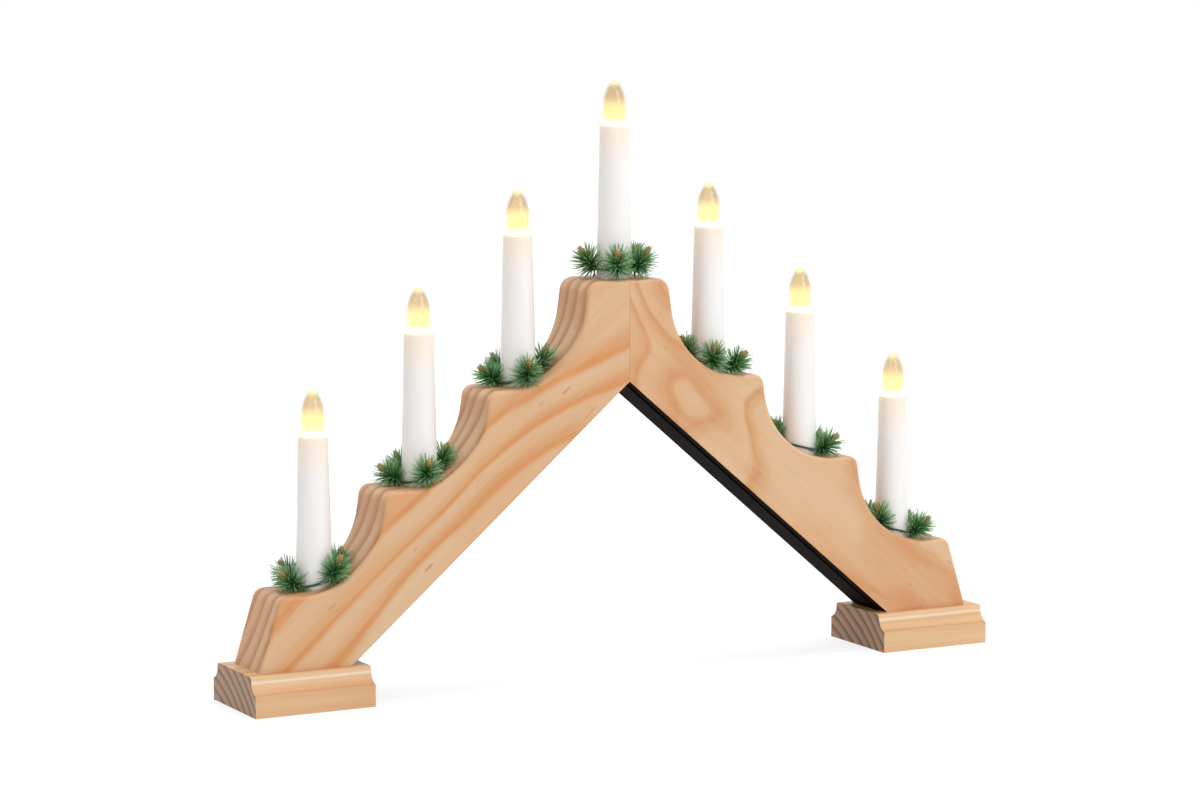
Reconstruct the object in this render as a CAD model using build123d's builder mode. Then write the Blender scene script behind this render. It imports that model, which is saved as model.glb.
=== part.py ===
from build123d import *
import os
from math import atan, atan2, cos, hypot, radians, sin, sqrt, tan

os.makedirs("parts", exist_ok=True)

# Stepped arch. X runs along it, -Y is the front, and the origin is on the table under its middle.
overall_length = 400.0       # outer end of one foot to outer end of the other
arm_thickness = 32.2
apex_height = 193.0
apex_depth = 49.0            # length of the mitre line between the two arms
face_lean = 8.0              # degrees that the faces above the coves lean outwards
outer_lean = 17.2            # degrees that the lowest face of each arm leans outwards
cove_radius = 40.0
apex_corner_radius = 7.0
corner_radius = 5.5
edge_round = 2.0
step_height_shares = [1.0, 0.743, 0.514, 0.278]      # of the apex height, from the middle outwards
candle_reach_shares = [0.0, 0.2605, 0.522, 0.7955]   # of half the overall length, from the middle outwards
candle_setback = 11.0        # candle axis to the end of the cove that it stands in
spot_face_depth = 1.1        # how far a candle's flat seat is cut below its step

# Feet, cut from a length of moulding
foot_length = 60.5
foot_depth = 51.1
foot_height = 18.6
foot_band_height = 10.5
foot_cove_inset = 5.1
foot_cove_height = 16.2
foot_bead_inset = 6.3
heel_inset = 7.6             # inner end of the foot to the arm's underside
toe_inset = 6.2              # outer end of the foot to the arm's outer face

# Fits
glue_gap = 0.05              # between glued or pushed pieces of the fixed assembly
thread_gap = 0.08            # between a bulb's thread crests and the screw shell
rest_gap = 0.3               # between a loose piece and what it rests on
cover_gap = 0.2              # around the ends of the cover strips
small = 0.01                 # tolerance when edges are picked by place

# Wiring groove and its cover strips
groove_width = 12.0
groove_depth = 14.0
strip_width = 30.2
strip_flange = 0.5
strip_crown_width = 19.0
strip_crown = 1.2
loom_height = 10.5           # loom axis above the underside, square to it
loom_radius = 1.4
riser_radius = 1.1
loom_bend_radius = 10.0
loom_overrun = 2.0

# Candle sleeves
sleeve_height = 73.5
sleeve_base_radius = 8.7
sleeve_rim_radius = 7.1
sleeve_wall = 1.0
sleeve_floor = 1.6
spigot_radius = 6.0
spigot_length = 15.0
lead_bore_radius = 3.6
ledge_thickness = 1.2
ledge_width = 1.1

# Bulb and lampholder, levels taken from the sleeve's rim
thread_radius = 4.72         # crest of the bulb's thread
thread_root_radius = 4.4
thread_pitch = 1.8
thread_turns = 5
globe_radius = 5.85
globe_height = 21.45
globe_straight = 8.0         # up to where the globe starts to narrow
globe_nose_radius = 2.4      # radius at which the nose rounds over
globe_nose_height = 20.0
globe_wall = 0.8
globe_sink = 2.4             # globe's lower end below the rim
neck_radius = 3.85
neck_wall = 0.75
neck_length = 2.6
collar_radius = 4.9
collar_height = 1.0
cap_cavity_depth = 3.6
cap_cone_height = 1.5
cap_cone_radius = 1.9
button_radius = 1.7
button_height = 1.1
diode_radius = 2.5
diode_flange_radius = 2.9
diode_flange_height = 1.0
diode_body_height = 6.1
shell_wall = 0.25
shell_top = 3.6              # screw shell's upper end below the rim
contact_radius = 3.5
contact_thickness = 0.3
contact_gap = 0.1            # between a bulb's button and the contact tab
holder_radius = 6.0
holder_floor = 3.6
holder_tail_radius = 4.5
holder_tail = 3.0

# Wreaths
ring_radius = 10.6
ring_wire_radius = 0.6
ring_tilt = 15.0             # degrees, uphill side raised, on the steps
ring_height = 4.5            # ring's middle above the step
stem_radius = 0.5
knot_radius = 0.8            # twisted wire where a sprig is tied to the ring
sprig_lean = 35.0            # degrees from upright, before the ring's tilt
core_start = 0.9             # needle core's lower end, from the ring along the stem
core_length = 5.0
core_radius = 1.0
bud_radius = 1.9
bud_length = 6.4
bud_belly_share = 0.4        # of the bud's length, where its curve passes its full radius
bud_foot_radius = 0.9
bud_tip_radius = 0.3
needle_count = 16            # on each sprig
needle_width = 0.5
needle_length = 7.2
needle_stub = 0.5            # shortest needle, where sleeve or wood is near
needle_trim = 0.2
needle_root = 0.65           # needle's root from the stem axis
needle_margin = 0.6
needle_low_angle = 82.0      # degrees from the stem, lowest needle
needle_high_angle = 45.0
golden_angle = 137.5
sprig_angles = [
    [128, -168, -62, 0],
    [104, 167, -100, -4],
    [106, 170, -98, -10],
    [172, -112, -46, 20],
    [178, 112, -108, -42],
    [160, 96, 26, -40],
    [-152, 128, 30, -42],
]

# Dowels, foot screws and the grommet of the supply lead
dowel_radius = 3.0
dowel_length = 30.0
dowel_spread = 11.0
dowel_drop = 28.0            # below the apex
dowel_chamfer = 0.6
screw_radius = 1.75
screw_head_radius = 3.7
screw_length = 32.0
screw_sink = 0.6             # head below the foot's lower face
screw_tip = 3.0
screw_head_angle = 90.0
screw_inset = 22.0           # from the foot's outer end
screw_spread = 9.0
slot_length = 4.4
slot_width = 0.9
slot_depth = 1.3
grommet_reach = 140.0
grommet_bore_radius = 2.6
grommet_barrel_radius = 4.0
grommet_flange_radius = 5.2
grommet_flange = 1.5

half_length = overall_length / 2
half_thickness = arm_thickness / 2
crotch_height = apex_height - apex_depth
heel_reach = half_length - foot_length + heel_inset
toe_reach = half_length - toe_inset
underside_slope = (crotch_height - foot_height) / heel_reach
underside_run = cos(atan(underside_slope))
step_tops = [apex_height * share for share in step_height_shares]
candle_reaches = [half_length * share for share in candle_reach_shares]
flat_starts = [reach + candle_setback for reach in candle_reaches]
groove_rise = groove_depth / underside_run
loom_rise = loom_height / underside_run

# Where each steep face starts above its cove, and the corner where it meets the step above
face_run = cove_radius * cos(radians(face_lean))
face_rise = cove_radius * (1 - sin(radians(face_lean)))
face_feet = [(flat_starts[step] - face_run, step_tops[step] + face_rise) for step in (1, 2, 3)]
corners = [
    (x - (step_tops[step] - z) * tan(radians(face_lean)), step_tops[step])
    for step, (x, z) in enumerate(face_feet)
]
corners.append((toe_reach - (step_tops[3] - foot_height) * tan(radians(outer_lean)), step_tops[3]))


def underside(x):
    """Height of the arms' lower faces."""
    return crotch_height - underside_slope * abs(x)


def wood_top(x):
    """Height of the arch's upper outline."""
    reach = abs(x)
    for step, (corner_x, corner_z) in enumerate(corners):
        if reach <= corner_x:
            if step == 0 or reach >= flat_starts[step]:
                return corner_z
            run = min(flat_starts[step] - reach, cove_radius)
            return corner_z + cove_radius - sqrt(cove_radius**2 - run**2)
    return step_tops[3] - (reach - corners[3][0]) / tan(radians(outer_lean))


def seat_height(step):
    return step_tops[step] - (spot_face_depth if step else 0)


# One row for each candle, left to right: place along X, step, height of its seat
candles = [(-candle_reaches[step], step, seat_height(step)) for step in (3, 2, 1)]
candles += [(candle_reaches[step], step, seat_height(step)) for step in (0, 1, 2, 3)]


def save(body, name):
    body.part.label = name
    export_step(body.part, f"parts/{name}.step")


# Right arm as it is cut on the bandsaw and drilled; the left one is its mirror image
with BuildPart() as plain_arm:
    with BuildSketch(Plane.XZ) as outline:
        with BuildLine():
            start = (0, apex_height)
            for step in (1, 2, 3):
                middle_angle = radians(180 + (face_lean + 90) / 2)
                cove_centre = (flat_starts[step], step_tops[step] + cove_radius)
                cove_middle = (
                    cove_centre[0] + cove_radius * cos(middle_angle),
                    cove_centre[1] + cove_radius * sin(middle_angle),
                )
                cove_end = (flat_starts[step], step_tops[step])
                Polyline(start, corners[step - 1], face_feet[step - 1])
                ThreePointArc(face_feet[step - 1], cove_middle, cove_end)
                start = cove_end
            Polyline(
                start,
                corners[3],
                (toe_reach, foot_height),
                (heel_reach, foot_height),
                (0, crotch_height),
                (0, apex_height),
            )
        make_face()
        for corner, radius in zip(corners, [apex_corner_radius] + [corner_radius] * 3):
            fillet(outline.vertices().sort_by_distance(corner)[0], radius)
    extrude(amount=half_thickness, both=True)
    long_edges = plain_arm.edges().filter_by(
        lambda edge: abs(abs((edge @ 0.5).Y) - half_thickness) < small
        and (edge @ 0.5).X > small
        and (edge @ 0.5).Z > max(foot_height, underside((edge @ 0.5).X)) + small
    )
    fillet(long_edges, edge_round)
    with BuildSketch(Plane.XZ):
        groove_reach = (crotch_height + groove_rise - foot_height) / underside_slope
        Polygon(
            (0, crotch_height),
            (heel_reach, foot_height),
            (groove_reach, foot_height),
            (0, crotch_height + groove_rise),
            align=None,
        )
    extrude(amount=groove_width / 2, both=True, mode=Mode.SUBTRACT)
    for step, reach in enumerate(candle_reaches):
        seat = seat_height(step)
        with Locations((reach, 0, seat)):
            CounterBoreHole(
                radius=lead_bore_radius,
                counter_bore_radius=spigot_radius + glue_gap,
                counter_bore_depth=spigot_length + glue_gap,
                depth=seat - underside(reach) - loom_rise,
            )
        if step:
            spot_radius = sleeve_base_radius + rest_gap
            with Locations((reach, 0, seat + spot_radius)):
                Hole(radius=spot_radius, depth=spot_radius)
    with BuildSketch(Plane.YZ):
        with Locations((-dowel_spread, apex_height - dowel_drop), (dowel_spread, apex_height - dowel_drop)):
            Circle(dowel_radius + glue_gap)
    extrude(amount=dowel_length / 2 + glue_gap, mode=Mode.SUBTRACT)
    with BuildSketch(Plane.XY.offset(foot_height)):
        with Locations((half_length - screw_inset, -screw_spread), (half_length - screw_inset, screw_spread)):
            Circle(screw_radius + glue_gap)
    extrude(amount=screw_sink + screw_length + glue_gap - foot_height, mode=Mode.SUBTRACT)

grommet_height = underside(grommet_reach) + groove_rise / 2
grommet_plane = Plane((grommet_reach, half_thickness, grommet_height), x_dir=(1, 0, 0), z_dir=(0, 1, 0))

with BuildPart() as arm_right:
    add(plain_arm.part)
    with BuildSketch(grommet_plane):
        Circle(grommet_barrel_radius + glue_gap)
    extrude(amount=-(half_thickness - groove_width / 2), mode=Mode.SUBTRACT)
save(arm_right, "arm_right")

with BuildPart() as arm_left:
    mirror(plain_arm.part, about=Plane.YZ)
save(arm_left, "arm_left")

with BuildPart() as cord_grommet:
    with BuildSketch(grommet_plane):
        Circle(grommet_flange_radius)
    extrude(amount=grommet_flange)
    with BuildSketch(grommet_plane):
        Circle(grommet_barrel_radius)
    extrude(amount=-(half_thickness - groove_width / 2))
    with BuildSketch(grommet_plane.offset(grommet_flange)):
        Circle(grommet_bore_radius)
    extrude(amount=-(grommet_flange + half_thickness - groove_width / 2), mode=Mode.SUBTRACT)
save(cord_grommet, "cord_grommet")

# Feet
with BuildPart() as foot_right:
    with BuildSketch(Plane.YZ.offset(half_length - foot_length)):
        with BuildLine():
            half_depth = foot_depth / 2
            band_top = (half_depth, foot_band_height)
            cove_top = (half_depth - foot_cove_inset, foot_cove_height)
            bead_top = (half_depth - foot_bead_inset, foot_height)
            Polyline((0, 0), (half_depth, 0), band_top)
            SagittaArc(band_top, cove_top, foot_bead_inset - foot_cove_inset)
            SagittaArc(cove_top, bead_top, -(foot_bead_inset - foot_cove_inset) / 2)
            Line(bead_top, (0, foot_height))
            mirror(about=Plane.YZ)
        make_face()
    extrude(amount=foot_length)
    for spread in (-screw_spread, screw_spread):
        with Locations(Plane((half_length - screw_inset, spread, screw_sink), z_dir=(0, 0, -1))):
            CounterSinkHole(screw_radius + glue_gap, screw_head_radius + glue_gap, counter_sink_angle=screw_head_angle)
        with BuildSketch():
            with Locations((half_length - screw_inset, spread)):
                Circle(screw_head_radius + glue_gap)
        extrude(amount=screw_sink, mode=Mode.SUBTRACT)
save(foot_right, "foot_right")

with BuildPart() as foot_left:
    mirror(foot_right.part, about=Plane.YZ)
save(foot_left, "foot_left")

# Countersunk screws with a cross recess, two in each foot
with BuildPart() as foot_screws:
    for x in (screw_inset - half_length, half_length - screw_inset):
        for y in (-screw_spread, screw_spread):
            with BuildSketch(Plane((x, y, screw_sink), x_dir=(1, 0, 0), z_dir=(0, -1, 0))):
                Polygon(
                    (0, 0),
                    (screw_head_radius, 0),
                    (screw_radius, screw_head_radius - screw_radius),
                    (screw_radius, screw_length - screw_tip),
                    (0, screw_length),
                    align=None,
                )
            revolve(axis=Axis((x, y, 0), (0, 0, 1)))
            with BuildSketch(Plane.XY.offset(screw_sink)):
                with Locations((x, y)):
                    Rectangle(slot_length, slot_width)
                    Rectangle(slot_width, slot_length)
            extrude(amount=slot_depth, mode=Mode.SUBTRACT)
save(foot_screws, "foot_screws")

# Dowels across the mitre
with BuildPart() as mitre_dowels:
    with BuildSketch(Plane.YZ):
        with Locations((-dowel_spread, apex_height - dowel_drop), (dowel_spread, apex_height - dowel_drop)):
            Circle(dowel_radius)
    extrude(amount=dowel_length / 2, both=True)
    chamfer(mitre_dowels.edges().filter_by(GeomType.CIRCLE), dowel_chamfer)
save(mitre_dowels, "mitre_dowels")

# Cover strips: a thin flange with a thicker crown along its middle
with BuildPart() as strip_right:
    for width, thickness in ((strip_width, strip_flange), (strip_crown_width, strip_crown)):
        drop = thickness / underside_run
        floor = foot_height + cover_gap
        with BuildSketch(Plane.XZ):
            Polygon(
                (cover_gap, underside(cover_gap)),
                ((crotch_height - floor) / underside_slope, floor),
                ((crotch_height - drop - floor) / underside_slope, floor),
                (cover_gap, underside(cover_gap) - drop),
                align=None,
            )
        extrude(amount=width / 2, both=True)
save(strip_right, "cover_strip_right")

with BuildPart() as strip_left:
    mirror(strip_right.part, about=Plane.YZ)
save(strip_left, "cover_strip_left")


# Pieces turned about a candle's axis
def candle_plane(x, level):
    return Plane((x, 0, level), x_dir=(1, 0, 0), z_dir=(0, -1, 0))


def candle_axis(x):
    return Axis((x, 0, 0), (0, 0, 1))


thread_bottom = globe_sink + collar_height + thread_turns * thread_pitch
holder_inside = thread_bottom + cap_cone_height + button_height + contact_gap + contact_thickness
holder_bottom = holder_inside + holder_floor
mouth_radius = holder_radius + glue_gap
ledge_level = sleeve_height - holder_bottom
shell_radius = thread_radius + thread_gap


def sleeve_radius(level):
    """Outer radius of a sleeve at a height above its seat."""
    return sleeve_base_radius + (sleeve_rim_radius - sleeve_base_radius) * level / sleeve_height


def make_sleeve(x, seat):
    under_ledge = ledge_level - ledge_thickness
    with BuildPart() as sleeve:
        with BuildSketch(candle_plane(x, seat)):
            Polygon(
                (lead_bore_radius, -spigot_length),
                (spigot_radius, -spigot_length),
                (spigot_radius, 0),
                (sleeve_base_radius, 0),
                (sleeve_rim_radius, sleeve_height),
                (mouth_radius, sleeve_height),
                (mouth_radius, ledge_level),
                (mouth_radius - ledge_width, ledge_level),
                (mouth_radius - ledge_width, under_ledge),
                (sleeve_radius(under_ledge) - sleeve_wall, under_ledge),
                (sleeve_radius(sleeve_floor) - sleeve_wall, sleeve_floor),
                (lead_bore_radius, sleeve_floor),
                align=None,
            )
        revolve(axis=candle_axis(x))
    return sleeve


def make_lampholder(x, rim):
    bore = shell_radius + shell_wall + glue_gap
    with BuildPart() as holder:
        with BuildSketch(candle_plane(x, rim)):
            Polygon(
                (0, -holder_bottom - holder_tail),
                (holder_tail_radius, -holder_bottom - holder_tail),
                (holder_tail_radius, -holder_bottom),
                (holder_radius, -holder_bottom),
                (holder_radius, -shell_top),
                (bore, -shell_top),
                (bore, -thread_bottom - glue_gap),
                (bore - shell_wall - glue_gap, -thread_bottom - glue_gap),
                (bore - shell_wall - glue_gap, -holder_inside),
                (0, -holder_inside),
                align=None,
            )
        revolve(axis=candle_axis(x))
    return holder


def make_bulb_cap(x, rim):
    cavity_radius = neck_radius + glue_gap
    with BuildPart() as cap:
        with BuildSketch(candle_plane(x, rim)):
            with BuildLine():
                thread_top = -globe_sink - collar_height
                Polyline(
                    (0, -globe_sink - cap_cavity_depth),
                    (cavity_radius, -globe_sink - cap_cavity_depth),
                    (cavity_radius, -globe_sink),
                    (collar_radius, -globe_sink),
                    (collar_radius, thread_top),
                    (thread_root_radius, thread_top),
                )
                for turn in range(thread_turns):
                    upper = thread_top - turn * thread_pitch
                    ThreePointArc(
                        (thread_root_radius, upper),
                        (thread_radius, upper - thread_pitch / 2),
                        (thread_root_radius, upper - thread_pitch),
                    )
                cone_bottom = -thread_bottom - cap_cone_height
                Polyline(
                    (thread_root_radius, -thread_bottom),
                    (cap_cone_radius, cone_bottom),
                    (button_radius, cone_bottom),
                )
                middle = dome_middle(button_radius, button_height)
                ThreePointArc(
                    (button_radius, cone_bottom),
                    (middle[0], cone_bottom - middle[1]),
                    (0, cone_bottom - button_height),
                )
                Line((0, cone_bottom - button_height), (0, -globe_sink - cap_cavity_depth))
            make_face()
        revolve(axis=candle_axis(x))
    return cap


def dome_middle(radius, height):
    """Middle of the arc from a dome's edge, at height zero, to its top on the axis."""
    sphere = (radius**2 + height**2) / (2 * height)
    half_angle = atan2(radius, sphere - height) / 2
    return sphere * sin(half_angle), height - sphere + sphere * cos(half_angle)


def globe_points(shrink):
    """Shoulder, middle of the long curve, nose and tip of the globe, drawn inwards by a wall thickness."""
    shoulder = (globe_radius - shrink, globe_straight)
    nose = (globe_nose_radius - shrink / 2, globe_nose_height - shrink)
    rise = nose[1] - shoulder[1]
    curve = (rise**2 + (shoulder[0] - nose[0]) ** 2) / (2 * (shoulder[0] - nose[0]))
    bulge = (shoulder[0] - curve + sqrt(curve**2 - rise**2 / 4), shoulder[1] + rise / 2)
    middle = dome_middle(nose[0], globe_height - shrink - nose[1])
    return shoulder, bulge, nose, (middle[0], nose[1] + middle[1]), (0, globe_height - shrink)


def make_globe(x, rim):
    neck_plane = Plane((x, 0, rim - globe_sink - neck_length))
    with BuildPart() as globe:
        for shrink, mode in ((0, Mode.ADD), (globe_wall, Mode.SUBTRACT)):
            shoulder, bulge, nose, nose_middle, tip = globe_points(shrink)
            with BuildSketch(candle_plane(x, rim)):
                with BuildLine():
                    floor = shrink - globe_sink
                    Polyline((0, floor), (globe_radius - shrink, floor), shoulder)
                    ThreePointArc(shoulder, bulge, nose)
                    ThreePointArc(nose, nose_middle, tip)
                    Line(tip, (0, floor))
                make_face()
            revolve(axis=candle_axis(x), mode=mode)
        with BuildSketch(neck_plane):
            Circle(neck_radius)
        extrude(amount=neck_length)
        with BuildSketch(neck_plane):
            Circle(neck_radius - neck_wall)
        extrude(amount=neck_length + globe_wall, mode=Mode.SUBTRACT)
    return globe


def make_diode(x, rim):
    floor = -globe_sink - cap_cavity_depth
    with BuildPart() as diode:
        with BuildSketch(candle_plane(x, rim)):
            with BuildLine():
                dome = floor + diode_body_height
                Polyline(
                    (0, floor),
                    (diode_flange_radius, floor),
                    (diode_flange_radius, floor + diode_flange_height),
                    (diode_radius, floor + diode_flange_height),
                    (diode_radius, dome),
                )
                ThreePointArc(
                    (diode_radius, dome),
                    (diode_radius * cos(radians(45)), dome + diode_radius * sin(radians(45))),
                    (0, dome + diode_radius),
                )
                Line((0, dome + diode_radius), (0, floor))
            make_face()
        revolve(axis=candle_axis(x))
    return diode


# Screw shells and contact tabs of all the lampholders
with BuildPart() as socket_contacts:
    for x, step, seat in candles:
        rim = seat + sleeve_height
        with BuildSketch(Plane((x, 0, rim - thread_bottom))):
            Circle(shell_radius + shell_wall)
            Circle(shell_radius, mode=Mode.SUBTRACT)
        extrude(amount=thread_bottom - shell_top)
        with BuildSketch(Plane((x, 0, rim - holder_inside))):
            Circle(contact_radius)
        extrude(amount=contact_thickness)
save(socket_contacts, "socket_contacts")

# Wiring loom: one run along both grooves, and a riser to each lampholder
with BuildPart() as wiring_loom:
    loom_reach = candle_reaches[3] + loom_overrun
    loom_end = underside(loom_reach) + loom_rise
    with BuildLine(Plane.XZ) as route:
        FilletPolyline(
            (-loom_reach, loom_end),
            (0, crotch_height + loom_rise),
            (loom_reach, loom_end),
            radius=loom_bend_radius,
        )
    with BuildSketch(Plane(route.line @ 0, z_dir=route.line % 0)):
        Circle(loom_radius)
    sweep(path=route.line)
    bend_drop = loom_bend_radius * (1 / underside_run - 1)
    for x, step, seat in candles:
        start = underside(x) + loom_rise - (0 if step else bend_drop)
        holder_end = seat + sleeve_height - holder_bottom - holder_tail
        with BuildSketch(Plane((x, 0, start))):
            Circle(riser_radius)
        extrude(amount=holder_end - start)
save(wiring_loom, "wiring_loom")


# Wreaths
def ring_plane(x, step):
    """Plane of a wreath's ring; on a step its uphill side is raised."""
    tilt = radians(ring_tilt if step else 0) * (1 if x > 0 else -1)
    return Plane(
        (x, 0, step_tops[step] + ring_height),
        x_dir=(cos(tilt), 0, -sin(tilt)),
        z_dir=(sin(tilt), 0, cos(tilt)),
    )


def sprig_frames(x, step, angles):
    """For each sprig, the point where it is tied to the ring and the direction of its stem."""
    plane = ring_plane(x, step)
    frames = []
    for angle in angles:
        turn = radians(angle)
        tie = plane.origin + plane.x_dir * (ring_radius * cos(turn)) + plane.y_dir * (ring_radius * sin(turn))
        outwards = Vector(cos(turn), sin(turn), 0)
        uphill = -cos(turn) * (1 if x > 0 else -1) * (ring_tilt if step else 0)
        lean = radians(sprig_lean - uphill)
        frames.append((tie, outwards * sin(lean) + Vector(0, 0, 1) * cos(lean)))
    return frames


def is_clear(point, x, angle, gaps):
    """True where a needle's tip stays off the sleeve, the wood and the neighbouring sprigs."""
    reach = hypot(point.X - x, point.Y)
    if reach < sleeve_base_radius + needle_margin:
        return False
    if abs(point.Y) < half_thickness + needle_margin:
        margin_spread = (point.X - needle_margin, point.X, point.X + needle_margin)
        if point.Z < max(wood_top(place) for place in margin_spread) + needle_margin:
            return False
    bearing = atan2(point.Y, point.X - x)
    for side, gap in zip((-1, 1), gaps):
        border = radians(angle + side * gap / 2)
        if side * reach * sin(border - bearing) < needle_margin / 2:
            return False
    return True


def make_needles(x, angle, gaps, tie, stem):
    """One sprig's needles on their twisted core, with a bore for the stem."""
    core_plane = Plane(tie + stem * core_start, z_dir=stem)
    needles = []
    for count in range(needle_count):
        share = (count + 0.5) / needle_count
        polar = radians(needle_low_angle + (needle_high_angle - needle_low_angle) * share)
        turn = radians(golden_angle * count + angle)
        sideways = core_plane.x_dir * cos(turn) + core_plane.y_dir * sin(turn)
        direction = sideways * sin(polar) + stem * cos(polar)
        root = core_plane.origin + stem * (core_length * share) + sideways * needle_root
        length = needle_length
        while length > needle_stub and not is_clear(root + direction * length, x, angle, gaps):
            length -= needle_trim
        blank = Box(needle_width, needle_width, length, align=(Align.CENTER, Align.CENTER, Align.MIN))
        needles.append(Plane(root, z_dir=direction) * blank)
    with BuildPart() as sprig:
        with BuildSketch(core_plane):
            Circle(core_radius)
        extrude(amount=core_length)
        add(needles)
        with BuildSketch(core_plane):
            Circle(stem_radius + glue_gap)
        extrude(amount=core_length, mode=Mode.SUBTRACT)
    return sprig.part


def make_ring(x, step, frames):
    """Wire ring with a stub under each sprig, its stem and its cone bud."""
    plane = ring_plane(x, step)
    with BuildPart() as ring:
        with BuildSketch(Plane(plane.origin, x_dir=plane.x_dir, z_dir=-plane.y_dir)):
            with Locations((ring_radius, 0)):
                Circle(ring_wire_radius)
        revolve(axis=Axis(plane.origin, plane.z_dir))
        for tie, stem in frames:
            with Locations(tie):
                Sphere(knot_radius)
            with BuildSketch(Plane(tie)):
                Circle(stem_radius)
            extrude(amount=-(tie.Z - wood_top(tie.X) - rest_gap))
            with BuildSketch(Plane(tie, z_dir=stem)):
                Circle(stem_radius)
            extrude(amount=core_start + core_length + bud_length / 2)
            bud_base = tie + stem * (core_start + core_length + rest_gap)
            across = stem.cross(Vector(0, 0, 1)).normalized()
            with BuildSketch(Plane(bud_base, x_dir=across, z_dir=across.cross(stem))):
                with BuildLine():
                    belly = (bud_radius, bud_length * bud_belly_share)
                    ThreePointArc((bud_foot_radius, 0), belly, (bud_tip_radius, bud_length))
                    Polyline((bud_tip_radius, bud_length), (0, bud_length), (0, 0), (bud_foot_radius, 0))
                make_face()
            revolve(axis=Axis(bud_base, stem))
    return ring


for number, (x, step, seat) in enumerate(candles, start=1):
    rim = seat + sleeve_height
    save(make_sleeve(x, seat), f"candle_sleeve_{number}")
    save(make_lampholder(x, rim), f"lampholder_{number}")
    save(make_bulb_cap(x, rim), f"bulb_cap_{number}")
    save(make_globe(x, rim), f"bulb_globe_{number}")
    save(make_diode(x, rim), f"bulb_diode_{number}")
    angles = sprig_angles[number - 1]
    frames = sprig_frames(x, step, angles)
    save(make_ring(x, step, frames), f"wreath_ring_{number}")
    sprigs = []
    for angle, (tie, stem) in zip(angles, frames):
        others = [(other - angle) % 360 for other in angles if other != angle]
        gaps = (360 - max(others), min(others))
        sprigs.append(make_needles(x, angle, gaps, tie, stem))
    with BuildPart() as wreath_needles:
        add(sprigs)
    save(wreath_needles, f"wreath_needles_{number}")
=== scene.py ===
import random
from math import cos, pi, radians, sin, tau

import bmesh
import bpy
from mathutils import Matrix, Vector
from mathutils.bvhtree import BVHTree


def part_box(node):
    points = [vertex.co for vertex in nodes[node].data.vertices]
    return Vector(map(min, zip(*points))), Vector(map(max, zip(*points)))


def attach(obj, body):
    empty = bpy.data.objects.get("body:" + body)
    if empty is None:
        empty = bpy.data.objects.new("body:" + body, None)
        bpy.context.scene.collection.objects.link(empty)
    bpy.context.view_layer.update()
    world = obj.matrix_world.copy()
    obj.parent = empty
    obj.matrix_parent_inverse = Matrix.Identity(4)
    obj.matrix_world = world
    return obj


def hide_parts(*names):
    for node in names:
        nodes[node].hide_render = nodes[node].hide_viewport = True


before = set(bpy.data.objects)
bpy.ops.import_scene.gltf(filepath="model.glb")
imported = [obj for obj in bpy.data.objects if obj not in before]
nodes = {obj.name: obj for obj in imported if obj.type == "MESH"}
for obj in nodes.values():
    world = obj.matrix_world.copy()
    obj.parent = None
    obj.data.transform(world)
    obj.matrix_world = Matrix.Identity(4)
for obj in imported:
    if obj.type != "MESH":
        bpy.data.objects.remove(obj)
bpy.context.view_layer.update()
scene = bpy.context.scene
candleNumbers = range(1, 8)
mm = 0.001


# Camera, where the photograph was taken from
shot = {
    "place": (-0.8690, -1.6355, 0.3717),
    "aim": (-0.00777, 0.0, 0.13362),
    "lens": 115.47,
    "sensor": 36.0,
}
cameraData = bpy.data.cameras.new("camera")
cameraData.lens = shot["lens"]
cameraData.sensor_width = shot["sensor"]
camera = bpy.data.objects.new("camera", cameraData)
camera.location = shot["place"]
sightLine = Vector(shot["aim"]) - Vector(shot["place"])
camera.rotation_euler = sightLine.to_track_quat("-Z", "Y").to_euler()
scene.collection.objects.link(camera)
scene.camera = camera
scene.view_settings.view_transform = "Standard"
print("camera placed")


# Shader sums: a Signal is an output socket that can stand in an expression
class Signal:
    def __init__(self, finish, socket):
        self.finish = finish
        self.socket = socket

    def math(self, operation, *others):
        inputs = dict(enumerate((self, *others)))
        return self.finish.node("ShaderNodeMath", {"operation": operation}, inputs)

    def turned(self, operation, other):
        return self.finish.node("ShaderNodeMath", {"operation": operation}, {0: other, 1: self})

    def __add__(self, other):
        return self.math("ADD", other)

    def __sub__(self, other):
        return self.math("SUBTRACT", other)

    def __mul__(self, other):
        return self.math("MULTIPLY", other)

    def __truediv__(self, other):
        return self.math("DIVIDE", other)

    def __pow__(self, other):
        return self.math("POWER", other)

    def __radd__(self, other):
        return self.turned("ADD", other)

    def __rsub__(self, other):
        return self.turned("SUBTRACT", other)

    def __rmul__(self, other):
        return self.turned("MULTIPLY", other)


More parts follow.
